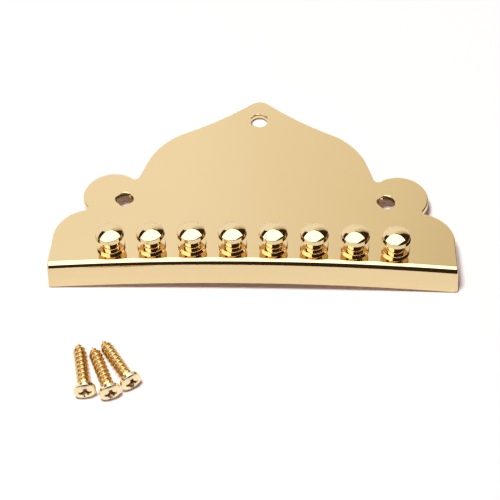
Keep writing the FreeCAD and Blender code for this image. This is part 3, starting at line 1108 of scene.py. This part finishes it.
def lying_matrix(screws, mesh, spot, turn, home_y):
    """A screw on its side, resting on its head's rim and its thread."""
    fall = (screws.head - screws.thread) / 2
    slope = math.atan2(fall, screws.length - screws.point)
    lay = Matrix.Rotation(turn, 4, "Z") @ Matrix.Rotation(math.pi / 2 - slope, 4, "X")
    lowest = min((lay @ vertex.co).z for vertex in mesh.vertices)
    return Matrix.Translation((spot.x, spot.y + home_y, -lowest)) @ lay


def direction(azimuth, elevation):
    """A way out from the part: azimuth 0 is the lip's front, positive to the right."""
    return Vector((math.sin(azimuth) * math.cos(elevation),
                   -math.cos(azimuth) * math.cos(elevation), math.sin(elevation)))


def add_camera(studio):
    camera = bpy.data.cameras.new("camera")
    camera.sensor_width = FRAME_WIDTH
    camera.lens = studio.focal / MM
    camera.clip_start = NEAR_LIMIT
    camera.clip_end = FAR_LIMIT
    back = direction(studio.azimuth, studio.elevation)
    right = Vector((math.cos(studio.azimuth), math.sin(studio.azimuth), 0.0))
    up = back.cross(right)
    roll = studio.roll
    rolled_right = right * math.cos(roll) + up * math.sin(roll)
    rolled_up = up * math.cos(roll) - right * math.sin(roll)
    turn = Matrix((rolled_right, rolled_up, back)).transposed().to_4x4()
    spot = Vector((-studio.aim_left, studio.aim_back, 0.0)) + back * studio.distance
    bpy.context.scene.camera = linked("camera", camera, Matrix.Translation(spot) @ turn)


def stage_piece(name, points, faces, material):
    mesh = plain_mesh(name, points, faces)
    mesh.shade_smooth()
    mesh.materials.append(material)
    thing = linked(name, mesh)
    return thing


def add_floor(studio):
    """A plain white table, which keeps the shadow."""
    material, shader = new_material("white_table")
    cloth = shader.node("ShaderNodeBsdfDiffuse", None, {"Color": opaque(studio.floor)})["BSDF"]
    seen = shader.node("ShaderNodeLightPath")["Is Camera Ray"]
    # Painted light: the table glows warm to the camera, as light off the gold would tint its
    # shadows
    glow = shader.glow(opaque(studio.painted_table_glow), seen)
    shader.show(shader.node("ShaderNodeAddShader", None, {0: cloth, 1: glow})["Shader"])
    half = TABLE_HALF
    corners = [(-half, -half, 0), (half, -half, 0), (half, half, 0), (-half, half, 0)]
    stage_piece("table", corners, [(0, 1, 2, 3)], material)


def add_mirrored(name, points, faces, material):
    """A piece of the stage that only the polish sees."""
    card = stage_piece(name, points, faces, material)
    card.visible_camera = False
    card.visible_diffuse = False
    card.visible_shadow = False


def add_patch(name, azimuths, elevations, distance, material):
    """A card bent round the part at a distance."""
    points = []
    for row in range(PATCH_STEPS + 1):
        for column in range(PATCH_STEPS + 1):
            azimuth = azimuths[0] + (azimuths[1] - azimuths[0]) * column / PATCH_STEPS
            elevation = elevations[0] + (elevations[1] - elevations[0]) * row / PATCH_STEPS
            points.append(direction(math.radians(azimuth), math.radians(elevation)) * distance)
    faces = []
    for row in range(PATCH_STEPS):
        for column in range(PATCH_STEPS):
            at = row * (PATCH_STEPS + 1) + column
            faces.append((at, at + 1, at + PATCH_STEPS + 2, at + PATCH_STEPS + 1))
    add_mirrored(name, points, faces, material)


def glowing_paper(name, colour, radiance=1.0):
    """Plain light paper, lit cloth or a black flag, which the polish mirrors."""
    material, shader = new_material(name)
    shader.show(shader.glow(opaque(colour), radiance))
    return material


def shaded_paper(studio):
    """The reflector's paper: white on the left, and falling into shade to the upper right."""
    material, shader = new_material("reflector_paper")
    place = shader.node("ShaderNodeTexCoord")["Object"]
    axes = shader.node("ShaderNodeSeparateXYZ", None, {"Vector": place})
    shade = axes["X"] + axes["Z"] * SHADE_RISE
    tones = (studio.reflector, studio.reflector_mid, studio.reflector_dim, studio.card)
    stops = [(stop, opaque(tone)) for stop, tone in zip(SHADE_STOPS, tones)]
    colour = shader.node("ShaderNodeValToRGB", {"stops": stops},
                         {"Fac": shade * SHADE_SCALE - SHADE_SHIFT})["Color"]
    shader.show(shader.glow(colour, studio.reflector_light))
    return material


def add_cards(studio):
    """The light paper behind the part, and the dark cards before, beside and above it."""
    near = studio.reflector_away
    papers = {"shaded": (near, shaded_paper(studio)),
              "white": (near, glowing_paper("white_paper", studio.reflector)),
              "dark": (studio.card_away, glowing_paper("dark_card", studio.card))}
    for name, (paper, azimuths, elevations) in CARDS.items():
        add_patch(name, azimuths, elevations, *papers[paper])


def add_softbox(studio):
    """The large softbox that the polish mirrors, blunt towards the back and the right."""
    height = studio.overhead_height
    points = [(right * height, back * height, height) for right, back in SOFTBOX_CORNERS]
    cloth = glowing_paper("softbox_cloth", studio.softbox, studio.overhead)
    add_mirrored("overhead_softbox", points, [tuple(range(len(points)))], cloth)


def add_key(studio):
    """The lamp that lights the table, which the polish does not mirror."""
    lamp = bpy.data.lights.new("key_lamp", "AREA")
    lamp.shape = "SQUARE"
    lamp.size = studio.key_size
    lamp.energy = studio.key * math.pi ** 2 * studio.key_height ** 2
    spot = (-studio.key_left, -studio.key_ahead, studio.key_height)
    thing = linked("key_lamp", lamp, Matrix.Translation(spot))
    thing.visible_camera = False
    thing.visible_glossy = False


def add_world(studio):
    """A white room, dim as a light and plain white to the camera and in the metal."""
    world = bpy.data.worlds.new("white_room")
    bpy.context.scene.world = world
    world.use_nodes = True
    shader = Shader(world.node_tree)
    path = shader.node("ShaderNodeLightPath")
    seen = path["Is Camera Ray"] + path["Is Glossy Ray"] + path["Is Transmission Ray"]
    strength = seen * (1.0 - studio.room) + studio.room
    white = shader.node("ShaderNodeBackground", None,
                        {"Color": (1.0, 1.0, 1.0, 1.0), "Strength": strength})["Background"]
    shader.node("ShaderNodeOutputWorld", None, {"Surface": white})


def settings():
    return bpy.context.scene.tailpiece_build


class AddSheet(bpy.types.Operator):
    """Builds the arched sheet with its lip and its screw holes"""

    bl_idname = "tailpiece.add_sheet"
    bl_label = "Add Sheet"

    def execute(self, context):
        build = settings()
        mesh = sheet_mesh(SheetForm(build.sheet))
        matrix = seat_matrix(mesh, build.sheet)
        material = polished_gold(build.finishes)
        add_piece("polished_sheet", mesh, material, matrix, TAILPIECE_BODY,
                  "base_plate")
        return {"FINISHED"}


class AddPosts(bpy.types.Operator):
    """Builds the row of riveted posts"""

    bl_idname = "tailpiece.add_posts"
    bl_label = "Add Posts"

    def execute(self, context):
        build = settings()
        seat = bpy.data.objects["polished_sheet"].matrix_world
        material = bpy.data.materials["polished_gold"]
        first = post_mesh(build.posts, build.sheet.thickness)
        for index in range(build.posts.count):
            mesh = first if index == 0 else first.copy()
            mesh.materials.clear()
            matrix = seat @ post_matrix(build.sheet, build.posts, index)
            add_piece("polished_post_%d" % (index + 1), mesh, material, matrix,
                      TAILPIECE_BODY, "hitch_post_%d" % (index + 1))
        return {"FINISHED"}


class AddScrews(bpy.types.Operator):
    """Builds the three loose wood screws"""

    bl_idname = "tailpiece.add_screws"
    bl_label = "Add Wood Screws"

    def execute(self, context):
        build = settings()
        home_y = bpy.data.objects["polished_sheet"].matrix_world.translation.y
        material = screw_gold(build.finishes)
        first = joined_mesh([cut_head(build.screws), shank_mesh(build.screws)], "wood_screw_skin")
        for name, spot, turn in screw_places(build.screws):
            mesh = first.copy()
            mesh.materials.clear()
            matrix = lying_matrix(build.screws, mesh, spot, turn, home_y)
            add_piece("plated_screw_" + name, mesh, material, matrix,
                      SCREW_BODIES[name], name + "_wood_screw")
        return {"FINISHED"}


class AddStage(bpy.types.Operator):
    """Sets up the table, the cards, the lamps, the room and the camera"""

    bl_idname = "tailpiece.add_stage"
    bl_label = "Add Stage"

    def execute(self, context):
        studio = settings().studio
        context.scene.view_settings.view_transform = "Standard"
        add_floor(studio)
        add_cards(studio)
        add_softbox(studio)
        add_key(studio)
        add_world(studio)
        add_camera(studio)
        return {"FINISHED"}


class TailpiecePanel(bpy.types.Panel):
    """Lists the tailpiece's pieces and their sizes"""

    bl_idname = "VIEW3D_PT_tailpiece"
    bl_label = "Mandolin Tailpiece"
    bl_space_type = "VIEW_3D"
    bl_region_type = "UI"
    bl_category = "Tailpiece"

    def draw(self, context):
        build = settings()
        rows = (("sheet", AddSheet), ("posts", AddPosts), ("screws", AddScrews),
                ("studio", AddStage), ("finishes", None))
        for name, operator in rows:
            box = self.layout.box()
            group = getattr(build, name)
            for key in group.bl_rna.properties.keys():
                if key not in ("rna_type", "name"):
                    box.prop(group, key)
            if operator:
                box.operator(operator.bl_idname)


CLASSES = (SheetSizes, PostSizes, ScrewSizes, Finishes, StudioSizes, Build,
           AddSheet, AddPosts, AddScrews, AddStage, TailpiecePanel)


def register():
    for item in CLASSES:
        bpy.utils.register_class(item)
    bpy.types.Scene.tailpiece_build = PointerProperty(type=Build)


def unregister():
    del bpy.types.Scene.tailpiece_build
    for item in reversed(CLASSES):
        bpy.utils.unregister_class(item)


def main():
    register()
    bpy.ops.tailpiece.add_sheet()
    bpy.ops.tailpiece.add_posts()
    bpy.ops.tailpiece.add_screws()
    bpy.ops.tailpiece.add_stage()


if __name__ == "__main__":
    main()
